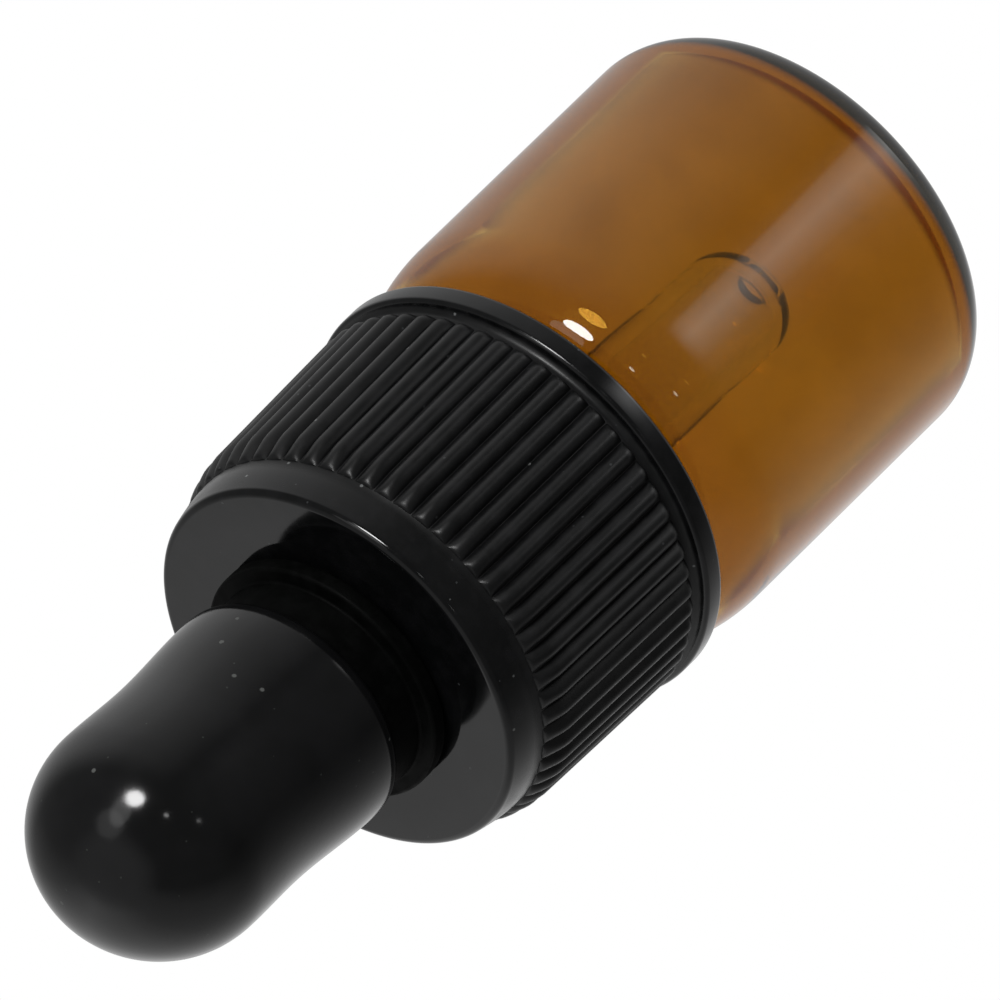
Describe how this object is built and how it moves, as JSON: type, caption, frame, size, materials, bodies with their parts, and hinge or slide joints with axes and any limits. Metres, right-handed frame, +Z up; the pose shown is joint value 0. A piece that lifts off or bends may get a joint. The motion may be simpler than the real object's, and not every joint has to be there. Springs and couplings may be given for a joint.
{
  "type": "dropper bottle for ink",
  "caption": "Small amber glass dropper bottle for ink, with a ribbed screw cap, a rubber squeeze bulb and a glass pipette that lifts out with the cap.",
  "frame": {"origin": "centre of the vial's base, on the surface that it stands on", "axes": "+Z up the bottle's axis through the cap and the bulb; X and Y across it"},
  "size_m": [0.0222, 0.0222, 0.0552],
  "materials": {
    "amber_glass": "smooth moulded amber glass",
    "black_plastic": "moulded, satin ribs and band, polished crown",
    "black_rubber": "smooth moulded rubber with a soft shine",
    "clear_glass": "drawn tube, fire-polished ends"
  },
  "bodies": {
    "vial": {"glass_vial": "amber_glass"},
    "dropper": {"glass_pipette": "clear_glass", "rubber_bulb": "black_rubber"},
    "cap": {"screw_cap": "black_plastic"}
  },
  "joints": [
    {"name": "dropper_lift", "type": "slide", "parent": "vial", "child": "dropper", "axis": [0, 0, 1], "range_m": [0, 0.0286]},
    {"name": "cap_turn", "type": "hinge", "parent": "dropper", "child": "cap", "pos_m": [0, 0, 0.02164], "axis": [0, 0, 1], "range_deg": [0, 3240]}
  ],
  "couplings": [
    {"joint": "dropper_lift", "follows": "cap_turn", "m_per_rad": 0.00050532}
  ]
}
